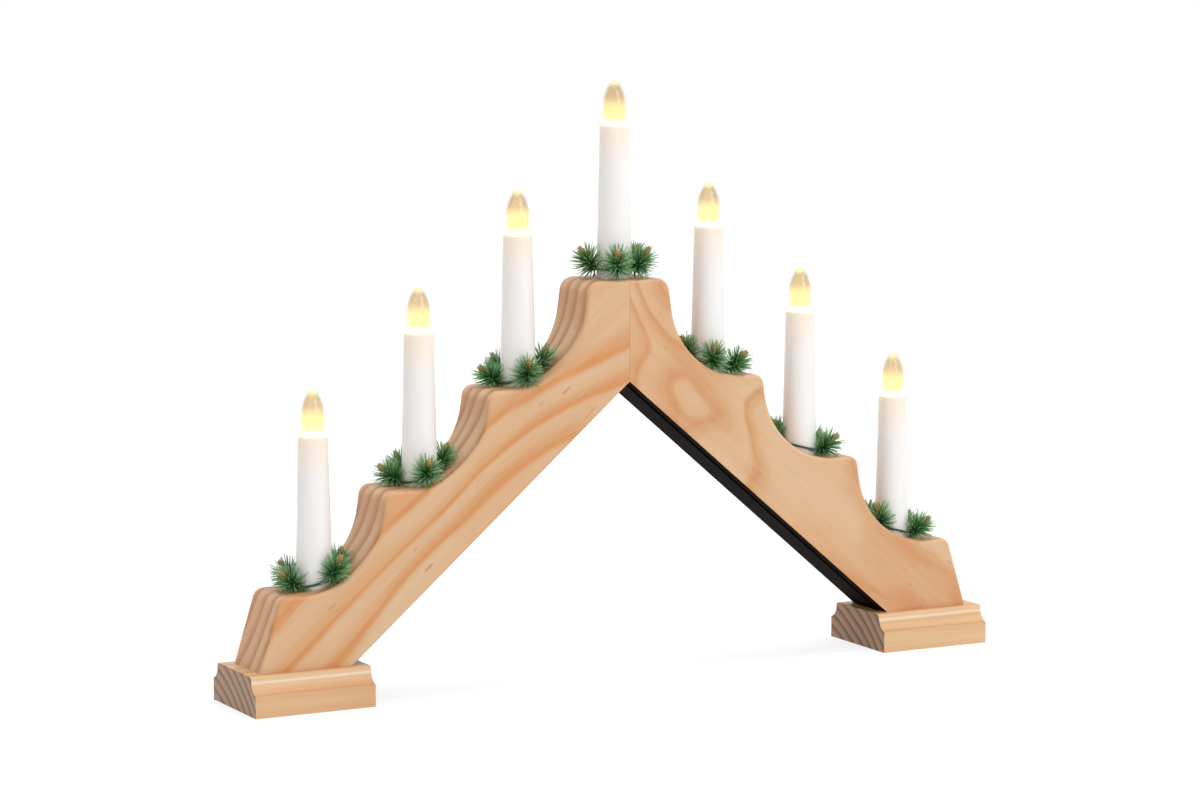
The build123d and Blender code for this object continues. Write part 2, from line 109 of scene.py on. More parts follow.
class Finish:
    def __init__(self, name, **constants):
        self.material = bpy.data.materials.new(name)
        self.material.use_nodes = True
        self.tree = self.material.node_tree
        self.shader = self.tree.nodes["Principled BSDF"]
        for words, value in constants.items():
            self.shader.inputs[words.replace("_", " ")].default_value = value

    def node(self, kind, settings=None, inputs=None, output=0):
        made = self.tree.nodes.new(kind)
        for key, value in (settings or {}).items():
            if key == "stops":
                self.fillRamp(made.color_ramp, value)
            else:
                setattr(made, key, value)
        for key, value in (inputs or {}).items():
            self.feed(made.inputs[key], value)
        return Signal(self, made.outputs[output])

    def fillRamp(self, ramp, stops):
        while len(ramp.elements) < len(stops):
            ramp.elements.new(1.0)
        for element, (place, color) in zip(ramp.elements, stops):
            element.position = place
            element.color = (*color, 1.0) if len(color) == 3 else color

    def feed(self, socket, value):
        if isinstance(value, Signal):
            self.tree.links.new(value.socket, socket)
        else:
            socket.default_value = value

    def ramp(self, factor, stops, interpolation="LINEAR"):
        made = self.node("ShaderNodeValToRGB", {"stops": stops}, {"Fac": factor})
        made.socket.node.color_ramp.interpolation = interpolation
        return made

    def blend(self, factor, first, second, mode="MIX"):
        settings = {"data_type": "RGBA", "blend_type": mode}
        inputs = {0: factor, 6: opaque(first), 7: opaque(second)}
        return self.node("ShaderNodeMix", settings, inputs, 2)

    def vector(self, operation, *values, output=0):
        return self.node("ShaderNodeVectorMath", {"operation": operation}, dict(enumerate(values)), output)

    def scaled(self, color, amount):
        inputs = {"Vector": color, "Scale": amount}
        return self.node("ShaderNodeVectorMath", {"operation": "SCALE"}, inputs)

    def noise(self, place, scale, detail=2.0, roughness=0.5, output="Fac"):
        inputs = {"Vector": place, "Scale": scale, "Detail": detail, "Roughness": roughness}
        return self.node("ShaderNodeTexNoise", inputs=inputs, output=output)

    def fade(self, value, low, high):
        inputs = {"Value": value, "From Min": low, "From Max": high}
        return self.node("ShaderNodeMapRange", {"interpolation_type": "SMOOTHSTEP"}, inputs)

    def objectPlace(self):
        return self.node("ShaderNodeTexCoord", output="Object")

    def axis(self, vector, name):
        return self.node("ShaderNodeSeparateXYZ", inputs={0: vector}, output=name)

    def height(self):
        return self.axis(self.node("ShaderNodeTexCoord", output="Generated"), "Z")

    def attribute(self, name):
        return self.node("ShaderNodeAttribute", {"attribute_name": name}, output="Fac")

    def bump(self, height, distance, strength=1.0):
        inputs = {"Height": height, "Distance": distance, "Strength": strength}
        self.feed(self.shader.inputs["Normal"], self.node("ShaderNodeBump", inputs=inputs))

    def set(self, name, value):
        self.feed(self.shader.inputs[name], value)


def opaque(color):
    return color if isinstance(color, Signal) else (*color[:3], 1.0)


# Floor, world and lamps
studio = {
    "floorSize": 8.0,
    "floorColor": (0.86, 0.86, 0.86),
    "floorWhite": 1.16,
    "floorShare": (0.66, 1.0),       # how white it looks near the object and far off
    "floorFade": (0.28, 0.75),       # distances from the middle between which that changes
    "skyStrength": 0.66,
    "lamps": {
        "key": {"place": (0.7, -2.3, 1.3), "size": (1.6, 1.6), "power": 19.0},
        "side": {"place": (-2.0, -1.0, 1.1), "size": (1.4, 1.4), "power": 2.0},
        "top": {"place": (0.05, 0.15, 1.95), "size": (0.9, 0.9), "power": 10.0},
        "gloss": {"place": (0.62, -0.17, 1.20), "size": (0.5, 0.1), "power": 2.4},
    },
}


def seenRay(tree):
    path = tree.nodes.new("ShaderNodeLightPath")
    total = path.outputs["Is Camera Ray"]
    for name in ("Is Glossy Ray", "Is Transmission Ray"):
        most = tree.nodes.new("ShaderNodeMath")
        most.operation = "MAXIMUM"
        tree.links.new(total, most.inputs[0])
        tree.links.new(path.outputs[name], most.inputs[1])
        total = most.outputs[0]
    return total


def makeFloor():
    shape = bmesh.new()
    bmesh.ops.create_grid(shape, x_segments=1, y_segments=1, size=studio["floorSize"] / 2)
    mesh = bpy.data.meshes.new("floor")
    shape.to_mesh(mesh)
    shape.free()
    floor = bpy.data.objects.new("floor", mesh)
    scene.collection.objects.link(floor)
    finish = Finish("pale floor", Base_Color=(*studio["floorColor"], 1.0), Roughness=0.9)
    finish.set("Specular IOR Level", 0.1)
    glow = finish.node("ShaderNodeEmission", inputs={"Strength": studio["floorWhite"]})
    seen = Signal(finish, seenRay(finish.tree))
    lit = Signal(finish, finish.shader.outputs[0])
    away = finish.fade(finish.vector("LENGTH", finish.objectPlace(), output=1), *studio["floorFade"])
    near, far = studio["floorShare"]
    share = seen * (near + (far - near) * away)
    mixed = finish.node("ShaderNodeMixShader", inputs={0: share, 1: lit, 2: glow})
    output = finish.tree.nodes["Material Output"]
    finish.tree.links.new(mixed.socket, output.inputs["Surface"])
    mesh.materials.append(finish.material)


def makeWorld():
    world = bpy.data.worlds.new("studio")
    scene.world = world
    world.use_nodes = True
    tree = world.node_tree
    background = tree.nodes["Background"]
    background.inputs["Color"].default_value = (1.0, 1.0, 1.0, 1.0)
    level = tree.nodes.new("ShaderNodeMapRange")
    level.inputs["To Min"].default_value = studio["skyStrength"]
    level.inputs["To Max"].default_value = 1.0
    tree.links.new(seenRay(tree), level.inputs["Value"])
    tree.links.new(level.outputs[0], background.inputs["Strength"])


def makeLamps():
    for name, lamp in studio["lamps"].items():
        data = bpy.data.lights.new(name, "AREA")
        data.shape = "RECTANGLE"
        data.size, data.size_y = lamp["size"]
        data.energy = lamp["power"]
        lampObject = bpy.data.objects.new(name, data)
        lampObject.location = lamp["place"]
        aim = Vector((0, 0, 0.12)) - Vector(lamp["place"])
        lampObject.rotation_euler = aim.to_track_quat("-Z", "Y").to_euler()
        scene.collection.objects.link(lampObject)


makeFloor()
makeWorld()
makeLamps()
print("studio lit")


# Pine: yearly rings round a pith outside the plank, cut by whatever shape the piece has
armSlope = 40.45
pine = {
    "left arm": {
        "turn": armSlope,                # degrees that its grain climbs towards +X
        "pith": (0.0, 0.090, 0.190),     # along the grain, in depth, across
        "ringWidth": 0.0088,
        "sway": (0.0085, 0.006),         # how far the rings wander in depth and across
        "swayScale": 25.0,
        "stretch": 0.26,                 # how slowly they wander along the grain
        "sweep": (0.0, 0.15, 0.034),     # from where to where the rings drift across, and how far
        "pale": (0.70, 0.485, 0.295),
        "warm": (0.68, 0.410, 0.225),
        "late": (0.65, 0.280, 0.095),
        "lateShare": 1.0,
        "sideLate": (0.49, 0.195, 0.068),
        "endBase": (0.585, 0.272, 0.125),
        "endLate": (0.48, 0.190, 0.064),
        "dashShare": 0.5,
        "coat": 0.14,
        "seed": 3.0,
    },
    "right arm": {
        "turn": -armSlope,
        "pith": (0.0, 0.110, 0.126),
        "ringWidth": 0.0056,
        "sway": (0.0170, 0.006),
        "swayScale": 23.0,
        "stretch": 0.62,
        "calm": (0.0, 0.07),             # along the grain, where the wandering dies down
        "pale": (0.70, 0.470, 0.280),
        "warm": (0.69, 0.405, 0.220),
        "late": (0.61, 0.270, 0.100),
        "lateShare": 0.78,
        "sideLate": (0.49, 0.195, 0.068),
        "endBase": (0.585, 0.272, 0.125),
        "endLate": (0.48, 0.190, 0.064),
        "dashShare": 0.75,
        "coat": 0.14,
        "seed": 21.0,
    },
    "foot": {
        "turn": 0.0,
        "pith": (0.0, 0.052, -0.063),
        "ringWidth": 0.0054,
        "sway": (0.0015, 0.0015),
        "swayScale": 14.0,
        "stretch": 0.2,
        "pale": (0.74, 0.495, 0.280),
        "warm": (0.66, 0.385, 0.195),
        "late": (0.60, 0.320, 0.140),
        "lateShare": 0.22,
        "sideLate": (0.60, 0.320, 0.140),
        "endBase": (0.43, 0.235, 0.130),
        "endLate": (0.060, 0.028, 0.016),
        "dashShare": 0.2,
        "coat": 0.18,
        "bead": (0.0146, 0.0160, 0.0176),  # heights along the moulded bead where a highlight is painted as a paler band
        "seed": 5.0,
    },
    "dowel": {
        "turn": 0.0,
        "pith": (0.0, 0.030, 0.040),
        "ringWidth": 0.0022,
        "sway": (0.001, 0.001),
        "swayScale": 20.0,
        "stretch": 0.2,
        "pale": (0.60, 0.410, 0.250),
        "warm": (0.56, 0.360, 0.210),
        "late": (0.45, 0.270, 0.140),
        "lateShare": 0.40,
        "sideLate": (0.40, 0.230, 0.120),
        "endBase": (0.45, 0.300, 0.190),
        "endLate": (0.25, 0.150, 0.090),
        "dashShare": 0.2,
        "coat": 0.0,
        "seed": 8.0,
    },
}
pineCommon = {
    "calmSway": 0.25,                # share of the wandering that is left where it has died down
    "ripple": (70.0, 0.3),           # small waves in the rings: scale, and depth in ring widths
    "fibreScale": 1500.0,
    "fibreStretch": 0.035,
    "fibreShade": 0.14,
    "streakScale": 230.0,
    "dashScale": 420.0,
    "dashStretch": 0.2,
    "dashCut": (0.76, 0.82),
    "patchScale": 26.0,              # where the dashes gather
    "warmScale": 26.0,
    "endFade": (0.35, 0.95),         # how squarely the grain must end in a surface to look end-on
    "endShare": 0.92,
    "resin": (0.46, 0.15, 0.055),
    # colour and strength of the highlight painted along the feet's moulded bead
    "rubbed": (0.95, 0.84, 0.68),
    "rubbedShare": 0.65,
    "seam": (0.40, 0.20, 0.09),
    "seamWidth": 0.00035,
    "seamShare": 0.6,
    "bumpDepth": 0.00012,
}
ringShades = {0.0: 0.25, 0.12: 0.0, 0.40: 0.10, 0.72: 0.62, 0.86: 1.0, 0.95: 0.75, 1.0: 0.25}  # over one year
ringStops = [(share, (shade,) * 3) for share, shade in ringShades.items()]


def pineFinish(name):
    look = pine[name]
    finish = Finish(name + " pine", Coat_Roughness=0.12, Coat_Weight=look["coat"], Specular_IOR_Level=0.3)
    place = finish.objectPlace()
    turn = {"Rotation": (0, radians(look["turn"]), 0)}
    grain = finish.node("ShaderNodeMapping", inputs={"Vector": place, **turn})
    facing = finish.node("ShaderNodeTexCoord", output="Normal")
    facing = finish.node("ShaderNodeMapping", {"vector_type": "VECTOR"}, {"Vector": facing, **turn})
    endOn = finish.axis(facing, "X").math("ABSOLUTE")
    sideOn = 1 - finish.fade(finish.axis(facing, "Y").math("ABSOLUTE"), *pineCommon["endFade"])

    # Rings wander slowly along the plank, less where the tree grew straight
    seeded = finish.vector("ADD", grain, (look["seed"], 0, 0))
    slow = finish.vector("MULTIPLY", seeded, (look["stretch"], 1, 1))
    wander = finish.noise(slow, look["swayScale"], 1.0, 0.4, "Color")
    wander = finish.vector("SUBTRACT", wander, (0.5, 0.5, 0.5))
    wander = finish.vector("MULTIPLY", wander, (0, 2 * look["sway"][0], 2 * look["sway"][1]))
    if "calm" in look:
        calm = finish.fade(finish.axis(grain, "X"), *look["calm"])
        wander = finish.scaled(wander, 1 - calm * (1 - pineCommon["calmSway"]))
    if "sweep" in look:
        start, end, reach = look["sweep"]
        drift = finish.fade(finish.axis(grain, "X"), start, end) * reach
        wander = finish.vector("ADD", wander, finish.scaled((0, 0, 1), drift))
    fromPith = finish.vector("SUBTRACT", finish.vector("ADD", grain, wander), look["pith"])
    flat = finish.vector("MULTIPLY", fromPith, (0, 1, 1))
    years = finish.vector("LENGTH", flat, output=1) / look["ringWidth"]
    years = years + finish.noise(slow, pineCommon["ripple"][0], 2.0) * pineCommon["ripple"][1]
    late = finish.ramp(years.math("FRACT"), ringStops, "EASE")

    # Fine fibres, streaks and short resin dashes run along the grain
    fibrePlace = finish.vector("MULTIPLY", seeded, (pineCommon["fibreStretch"], 1, 1))
    fibres = finish.noise(fibrePlace, pineCommon["fibreScale"], 3.0, 0.6)
    streaks = finish.noise(fibrePlace, pineCommon["streakScale"], 2.0)
    dashPlace = finish.vector("MULTIPLY", seeded, (pineCommon["dashStretch"], 1, 1))
    dashes = finish.fade(finish.noise(dashPlace, pineCommon["dashScale"], 0.0), *pineCommon["dashCut"])
    patches = finish.fade(finish.noise(seeded, pineCommon["patchScale"], 1.0), 0.45, 0.70)

    warmth = finish.noise(slow, pineCommon["warmScale"], 2.0) + 0.3 * (streaks - 0.5)
    warmth = finish.fade(warmth, 0.30, 0.70)
    color = finish.blend(warmth, look["pale"], look["warm"])
    lateColor = finish.blend(sideOn, look["late"], look["sideLate"])
    strength = late * (0.55 + 0.9 * streaks) * (look["lateShare"] + (1 - look["lateShare"]) * sideOn)
    color = finish.blend(strength.math("MINIMUM", 1.0), color, lateColor)
    color = finish.blend(dashes * patches * look["dashShare"], color, pineCommon["resin"])
    endColor = finish.blend(late.math("MINIMUM", 1.0), look["endBase"], look["endLate"])
    endShare = finish.fade(endOn, *pineCommon["endFade"])
    color = finish.blend(endShare * pineCommon["endShare"], color, endColor)
    color = finish.scaled(color, 1 - pineCommon["fibreShade"] / 2 + pineCommon["fibreShade"] * fibres)
    # Painted highlight: a paler band along the feet's moulded bead, by height, kept off the end grain
    if "bead" in look:
        low, middle, high = look["bead"]
        level = finish.axis(place, "Z")
        rubbed = finish.fade(level, low, middle) * (1 - finish.fade(level, middle, high)) * (1 - endShare)
        color = finish.blend(rubbed * pineCommon["rubbedShare"], color, pineCommon["rubbed"])
    if "arm" in name:                # glue line of the mitre
        seam = 1 - finish.fade(finish.axis(place, "X").math("ABSOLUTE"), 0.0, pineCommon["seamWidth"])
        color = finish.blend(seam * pineCommon["seamShare"], color, pineCommon["seam"])
    finish.set("Base Color", color)
    finish.set("Roughness", 0.42 + 0.14 * fibres - 0.08 * late)
    finish.bump(fibres * (0.5 + 0.6 * endShare) + late * 0.5, pineCommon["bumpDepth"], 0.5)
    return finish.material


def plainFinish(name, color, spread=0.06, scale=400.0, rough=(0.35, 0.5), depth=0.00003, **constants):
    finish = Finish(name, **constants)
    grain = finish.noise(finish.objectPlace(), scale, 3.0, 0.6)
    shade = 1 - spread / 2 + spread * grain
    finish.set("Base Color", finish.scaled(color, shade))
    finish.set("Roughness", rough[0] + (rough[1] - rough[0]) * grain)
    finish.bump(grain, depth, 0.5)
    return finish.material


def dress(material, *names):
    for name in names:
        mesh = nodes[name].data
        mesh.materials.clear()
        mesh.materials.append(material)


def everyCandle(word):
    return [f"{word}_{number}" for number in candleNumbers]


dress(pineFinish("left arm"), "arm_left")
dress(pineFinish("right arm"), "arm_right")
dress(pineFinish("foot"), "foot_left", "foot_right")
dress(pineFinish("dowel"), "mitre_dowels")
print("wood finished")


# Sleeves: the bulbs' light on their upper part is painted on, as a peach tint and a faint glow that is
# strongest at the rim
sleeve = {
    "white": (0.925, 0.900, 0.875),
    "lower": (0.905, 0.885, 0.875),
    "bulbLitPeach": (0.93, 0.815, 0.70),
    "glow": (0.045, 0.030, 0.015),
    "rimGlow": (0.25, 0.20, 0.11),
    "warmFrom": 0.70,                # share of the height above which the bulbs' light is painted on as a peach tint and a faint glow
    "rimFrom": (0.985, 0.998),
}


def sleeveFinish():
    finish = Finish("candle sleeve", Subsurface_Weight=0.12, Subsurface_Scale=0.002, Coat_Weight=0.1)
    finish.set("Subsurface Radius", (1.0, 0.8, 0.6))
    height = finish.height()
    mottle = finish.noise(finish.objectPlace(), 900.0, 3.0, 0.6)
    streak = finish.noise(finish.vector("MULTIPLY", finish.objectPlace(), (1, 1, 0.04)), 700.0, 2.0)
    white = finish.blend(streak, sleeve["white"], sleeve["lower"])
    # painted bulb light: towards the top the sleeve turns peach and glows faintly, most at the rim
    warm = finish.fade(height, sleeve["warmFrom"], 1.0)
    finish.set("Base Color", finish.blend(warm, white, sleeve["bulbLitPeach"]))
    glow = finish.blend(warm, (0, 0, 0), sleeve["glow"])
    rim = finish.fade(height, *sleeve["rimFrom"])
    finish.set("Emission Color", finish.blend(rim, glow, sleeve["rimGlow"]))
    finish.set("Emission Strength", 1.0)
    finish.set("Roughness", 0.34 + 0.12 * mottle)
    finish.bump(mottle + streak, 0.00002, 0.4)
    return finish.material


# Bulbs: clear tinted plastic over a glowing light guide
bulb = {
    "tint": [(0.0, (0.99, 0.97, 0.92)), (0.22, (0.98, 0.96, 0.90)), (0.36, (0.96, 0.92, 0.70)),
             (0.54, (0.91, 0.83, 0.60)), (0.70, (0.83, 0.71, 0.53)), (0.86, (0.81, 0.70, 0.53)),
             (0.94, (0.94, 0.91, 0.66)), (1.0, (0.98, 0.95, 0.55))],
    "glow": [(0.0, (0.07, 0.07, 0.06)), (0.24, (0.10, 0.096, 0.075)), (0.36, (0.085, 0.077, 0.03)),
             (0.48, (0.07, 0.061, 0.015)), (0.74, (0.0, 0.0, 0.0)), (0.90, (0.0, 0.0, 0.0)),
             (1.0, (0.08, 0.07, 0.005))],
    "guideHeight": 11.2,             # light guide, in mm from the sleeve's rim
    "guideRadius": 4.95,
    "guideFloor": -0.4,
    "guideRound": 1.6,
    "guideHollow": 2.75,
    "guideRoof": (1.0, 2.0),         # its thickness at the middle, and at the hollow's edge
    "guideTint": [(0.0, (1.0, 0.98, 0.90)), (0.3, (0.97, 0.92, 0.66)), (1.0, (0.97, 0.92, 0.72))],
    "guideGlow": [(0.0, (0.55, 0.52, 0.44)), (0.14, (0.42, 0.40, 0.30)), (0.34, (0.20, 0.18, 0.08)),
                  (0.66, (0.12, 0.10, 0.03)), (1.0, (0.0, 0.0, 0.0))],
    "guideFade": (0.10, 0.90),       # share of its height over which it clears
}


def bulbFinish():
    finish = Finish("clear bulb", IOR=1.42, Transmission_Weight=1.0)
    height = finish.height()
    finish.set("Base Color", finish.ramp(height, bulb["tint"]))
    finish.set("Emission Color", finish.ramp(height, bulb["glow"], "EASE"))
    finish.set("Emission Strength", 1.0)
    ripple = finish.noise(finish.objectPlace(), 300.0, 1.0)
    finish.set("Roughness", 0.03 + 0.05 * ripple)
    finish.bump(ripple, 0.00005, 0.3)
    return finish.material


def guideFinish():
    finish = Finish("lit light guide", Transmission_Weight=1.0, IOR=1.2)
    height = finish.height()
    finish.set("Base Color", finish.ramp(height, bulb["guideTint"]))
    speckle = finish.noise(finish.objectPlace(), 500.0, 2.0)
    finish.set("Emission Color", finish.scaled(finish.ramp(height, bulb["guideGlow"]), 0.9 + 0.2 * speckle))
    finish.set("Roughness", 0.30 + 0.15 * speckle)
    finish.set("Alpha", 1 - finish.fade(height, *bulb["guideFade"]))
    finish.set("Emission Strength", 1.0)
    return finish.material


def diodeFinish():
    finish = Finish("lit diode", Roughness=0.3)
    spot = finish.noise(finish.objectPlace(), 600.0, 1.0)
    finish.set("Base Color", finish.blend(spot, (0.95, 0.9, 0.7), (0.98, 0.94, 0.8)))
    finish.set("Emission Color", finish.blend(spot, (1.0, 0.93, 0.70), (1.0, 0.96, 0.80)))
    finish.set("Emission Strength", 5.0)
    return finish.material


dress(sleeveFinish(), *everyCandle("candle_sleeve"))
dress(bulbFinish(), *everyCandle("bulb_globe"))
dress(diodeFinish(), *everyCandle("bulb_diode"))
dress(plainFinish("ivory holder", (0.84, 0.80, 0.72)), *everyCandle("lampholder"))
capFinish = plainFinish("nickel cap", (0.72, 0.70, 0.66), 0.1, 900.0, (0.22, 0.4), Metallic=1.0)
dress(capFinish, *everyCandle("bulb_cap"))
# black plastic, painted darker still to stand in for the shade under the arms
stripBlackAndShade = (0.005, 0.003, 0.0025)
stripFinish = plainFinish("cover strip", stripBlackAndShade, 0.3, 500.0, (0.6, 0.8), Specular_IOR_Level=0.02)
dress(stripFinish, "cover_strip_left", "cover_strip_right")
dress(plainFinish("grommet rubber", (0.02, 0.02, 0.02), 0.2, 700.0, (0.6, 0.8)), "cord_grommet")
dress(plainFinish("lead sheath", (0.02, 0.06, 0.03), 0.2, 600.0, (0.4, 0.55)), "wiring_loom")
dress(plainFinish("zinc screw", (0.60, 0.60, 0.58), 0.15, 900.0, (0.3, 0.5), Metallic=1.0), "foot_screws")
brassFinish = plainFinish("contact brass", (0.70, 0.50, 0.20), 0.15, 900.0, (0.25, 0.4), Metallic=1.0)
dress(brassFinish, "socket_contacts")
print("candles and fittings finished")


# Pieces made here
def placePiece(data, material, body, slot, *replaced):
    data.materials.append(material)
    piece = bpy.data.objects.new(data.name, data)
    scene.collection.objects.link(piece)
    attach(piece, body)
    if replaced:
        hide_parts(*replaced)


def makePiece(name, shape, material, body, slot, *replaced):
    mesh = bpy.data.meshes.new(name)
    shape.to_mesh(mesh)
    shape.free()
    placePiece(mesh, material, body, slot, *replaced)


def candleSpot(number):
    low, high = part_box(f"candle_sleeve_{number}")
    return Vector(((low.x + high.x) / 2, 0, high.z))


def turnProfile(shape, points, spot, steps=40):
    corners = [shape.verts.new((radius, 0, height)) for radius, height in points]
    edges = [shape.edges.new(pair) for pair in zip(corners, corners[1:])]
    bmesh.ops.spin(shape, geom=corners + edges, cent=(0, 0, 0), axis=(0, 0, 1), angle=tau,
                   steps=steps, use_merge=True)
    bmesh.ops.remove_doubles(shape, verts=shape.verts[:], dist=1e-6)
    bmesh.ops.recalc_face_normals(shape, faces=shape.faces[:])
    bmesh.ops.translate(shape, verts=shape.verts[:], vec=spot)
    for face in shape.faces:
        face.smooth = True


def makeGuide(number, material):
    shape = bmesh.new()
    keys = ("guideRadius", "guideHollow", "guideHeight", "guideFloor", "guideRound")
    radius, hollow, top, floor, rounding = (bulb[key] * mm for key in keys)
    middleRoof, edgeRoof = (thickness * mm for thickness in bulb["guideRoof"])
    outline = [(hollow, floor), (radius, floor), (radius, top - rounding)]
    outline += [(radius - rounding + rounding * cos(turn), top - rounding + rounding * sin(turn))
                for turn in (pi / 8, pi / 4, 3 * pi / 8, pi / 2)]
    outline += [(0, top), (0, top - middleRoof), (hollow, top - edgeRoof), (hollow, floor)]
    turnProfile(shape, outline, candleSpot(number))
    makePiece(f"light_guide_{number}", shape, material, f"bulb_{number}", "warm_diode")


guideMaterial = guideFinish()
for number in candleNumbers:
    makeGuide(number, guideMaterial)
print("light guides made")


# Wreaths: twisted wire, stems, scaled cones and needles
wreath = {
    "ringRadius": 10.6,
    "strandRadius": 0.38,
    "strandOffset": 0.33,
    "twists": 26,
    "turnPoints": 6,
    "stemRadius": 0.45,
    "stubDrop": 4.2,                 # a stem's longest reach below the ring
    "stubClearance": 0.4,
    "tilt": 15.0,
    "ringHeight": 4.5,
    "lean": 35.0,
    "angles": [
        [128, -168, -62, 0],
        [104, 167, -100, -4],
        [106, 170, -98, -10],
        [172, -112, -46, 20],
        [178, 112, -108, -42],
        [160, 96, 26, -40],
        [-152, 128, 30, -42],
    ],
}
needle = {
    "count": 150,
    "width": 0.80,
    "tipWidth": 0.26,
    "length": (7.2, 9.6),
    "start": 0.2,
    "coreLength": 5.4,
    "lowAngle": 118.0,
    "highAngle": 30.0,
    "jitter": 9.0,
    "rootOffset": 0.25,
    "clearance": 0.35,
    "shortest": 1.4,
}
cone = {
    "start": 6.0,
    "length": 7.0,
    "radius": 1.95,
    "rows": 6,
    "scalesInRow": 6,
    "scaleLength": 1.9,
    "scaleWidth": 1.25,
    "scaleTip": 0.12,
    "scaleFlat": 0.42,               # a scale's thickness against its width
    "scaleLean": (62, 12),           # degrees from the stem, lowest and highest row
    "coreShare": 0.72,               # of the cone's radius
}
goldenAngle = 137.5
apexHeight = 193.0
stepShares = {1: 0.278, 2: 0.514, 3: 0.743, 4: 1.0, 5: 0.743, 6: 0.514, 7: 0.278}  # of the apex height


def needleFinish():
    finish = Finish("green needles", Coat_Weight=0.6, Coat_Roughness=0.14)
    along = finish.attribute("along")
    tone = finish.attribute("tone")
    # The green deepens towards the root and pales towards the tip, up to a near-white green on some needles:
    # partly the needles' own colour, partly painted shade inside the tuft and painted highlights on the
    # needles
    deep = finish.blend(tone, (0.020, 0.105, 0.028), (0.055, 0.230, 0.062))
    light = finish.blend(tone ** 2.0, (0.110, 0.370, 0.100), (0.520, 0.740, 0.400))
    finish.set("Base Color", finish.blend(finish.fade(along, 0.15, 1.0), deep, light))
    finish.set("Roughness", 0.26 + 0.14 * tone)
    finish.set("Transmission Weight", 0.12)
    return finish.material


def coneFinish():
    finish = Finish("cone bud", Coat_Weight=0.2)
    along = finish.attribute("along")
    tone = finish.attribute("tone")
    golden = finish.blend(tone, (0.40, 0.27, 0.06), (0.66, 0.52, 0.22))
    finish.set("Base Color", finish.blend(finish.fade(along, 0.3, 1.0), (0.17, 0.13, 0.035), golden))
    finish.set("Roughness", 0.34 + 0.2 * tone)
    return finish.material


def wireFinish():
    finish = Finish("green wire", Coat_Weight=0.4)
    grain = finish.noise(finish.objectPlace(), 900.0, 2.0)
    finish.set("Base Color", finish.blend(grain, (0.010, 0.035, 0.018), (0.020, 0.065, 0.030)))
    finish.set("Roughness", 0.3 + 0.15 * grain)
    return finish.material


def stubFinish():
    finish = Finish("stem stub")
    grain = finish.noise(finish.objectPlace(), 1200.0, 2.0)
    finish.set("Base Color", finish.blend(grain, (0.035, 0.018, 0.010), (0.10, 0.055, 0.030)))
    finish.set("Roughness", 0.6 + 0.2 * grain)
    return finish.material


def surfaceTree(*names):             # what needles must stay out of
    joined = bmesh.new()
    for name in names:
        joined.from_mesh(nodes[name].data)
    bmesh.ops.triangulate(joined, faces=joined.faces[:])
    tree = BVHTree.FromBMesh(joined)
    joined.free()
    return tree


def ringFrame(number):
    spot = candleSpot(number)
    side = 0 if number == 4 else (1 if number > 4 else -1)
    tilt = radians(wreath["tilt"]) * side
    origin = Vector((spot.x, 0, (apexHeight * stepShares[number] + wreath["ringHeight"]) * mm))
    along, across, up = (cos(tilt), 0, -sin(tilt)), (0, 1, 0), (sin(tilt), 0, cos(tilt))
    return origin, Vector(along), Vector(across), Vector(up), side


def sprigs(number):                  # (tie point, stem direction) of each sprig
    origin, along, across, up, side = ringFrame(number)
    found = []
    for angle in wreath["angles"][number - 1]:
        turn = radians(angle)
        tie = origin + (along * cos(turn) + across * sin(turn)) * wreath["ringRadius"] * mm
        outwards = Vector((cos(turn), sin(turn), 0))
        lean = radians(wreath["lean"] + cos(turn) * side * wreath["tilt"])
        found.append((tie, outwards * sin(lean) + Vector((0, 0, 1)) * cos(lean)))
    return found


def addSpline(curve, points, closed=False):
    spline = curve.splines.new("POLY")
    spline.points.add(len(points) - 1)
    for point, place in zip(spline.points, points):
        point.co = (*place, 1.0)
    spline.use_cyclic_u = closed


def curveShape(name, radius):
    curve = bpy.data.curves.new(name, "CURVE")
    curve.dimensions = "3D"
    curve.bevel_depth = radius * mm
    curve.bevel_resolution = 2
    curve.use_fill_caps = True
    return curve


def makeWire(number, material):
    origin, along, across, up, side = ringFrame(number)
    curve = curveShape(f"wreath_wire_{number}", wreath["strandRadius"])
    count = wreath["twists"] * wreath["turnPoints"]
    for strand in (0, pi):
        points = []
        for index in range(count):
            turn = tau * index / count
            twist = wreath["twists"] * turn + strand
            outwards = along * cos(turn) + across * sin(turn)
            reach = wreath["ringRadius"] + wreath["strandOffset"] * cos(twist)
            points.append(origin + (outwards * reach + up * wreath["strandOffset"] * sin(twist)) * mm)
        addSpline(curve, points, closed=True)
    placePiece(curve, material, f"wreath_{number}", "wreath_wire", f"wreath_ring_{number}")


def makeStems(number, material, wood):
    stems = curveShape(f"sprig_stems_{number}", wreath["stemRadius"])
    for tie, stem in sprigs(number):
        ground = wood.ray_cast(tie, Vector((0, 0, -1)))[0]
        drop = wreath["stubDrop"] * mm
        if ground:
            drop = min((tie - ground).length - wreath["stubClearance"] * mm, drop)
        foot = tie - Vector((0, 0, 1)) * drop
        addSpline(stems, [foot, tie - stem * 1.0 * mm + Vector((0, 0, -0.3 * mm)), tie + stem * 1.5 * mm,
                          tie + stem * (cone["start"] + 1.0) * mm])
    placePiece(stems, material, f"wreath_{number}", "wreath_wire")


def pushShade(shape, verts, base, direction, length, tone):
    along, tones = shape.verts.layers.float["along"], shape.verts.layers.float["tone"]
    for vert in verts:
        vert[along] = max(0.0, min(1.0, (vert.co - base).dot(direction) / length))
        vert[tones] = tone


def newShade():
    shape = bmesh.new()
    shape.verts.layers.float.new("along")
    shape.verts.layers.float.new("tone")
    return shape


def standing(base, direction, length, face):
    # puts a shape made along +Z onto a line, its +Y towards face
    across = face.cross(direction).normalized()
    turn = Matrix((across, direction.cross(across), direction)).transposed().to_4x4()
    return Matrix.Translation(base + direction * length / 2) @ turn


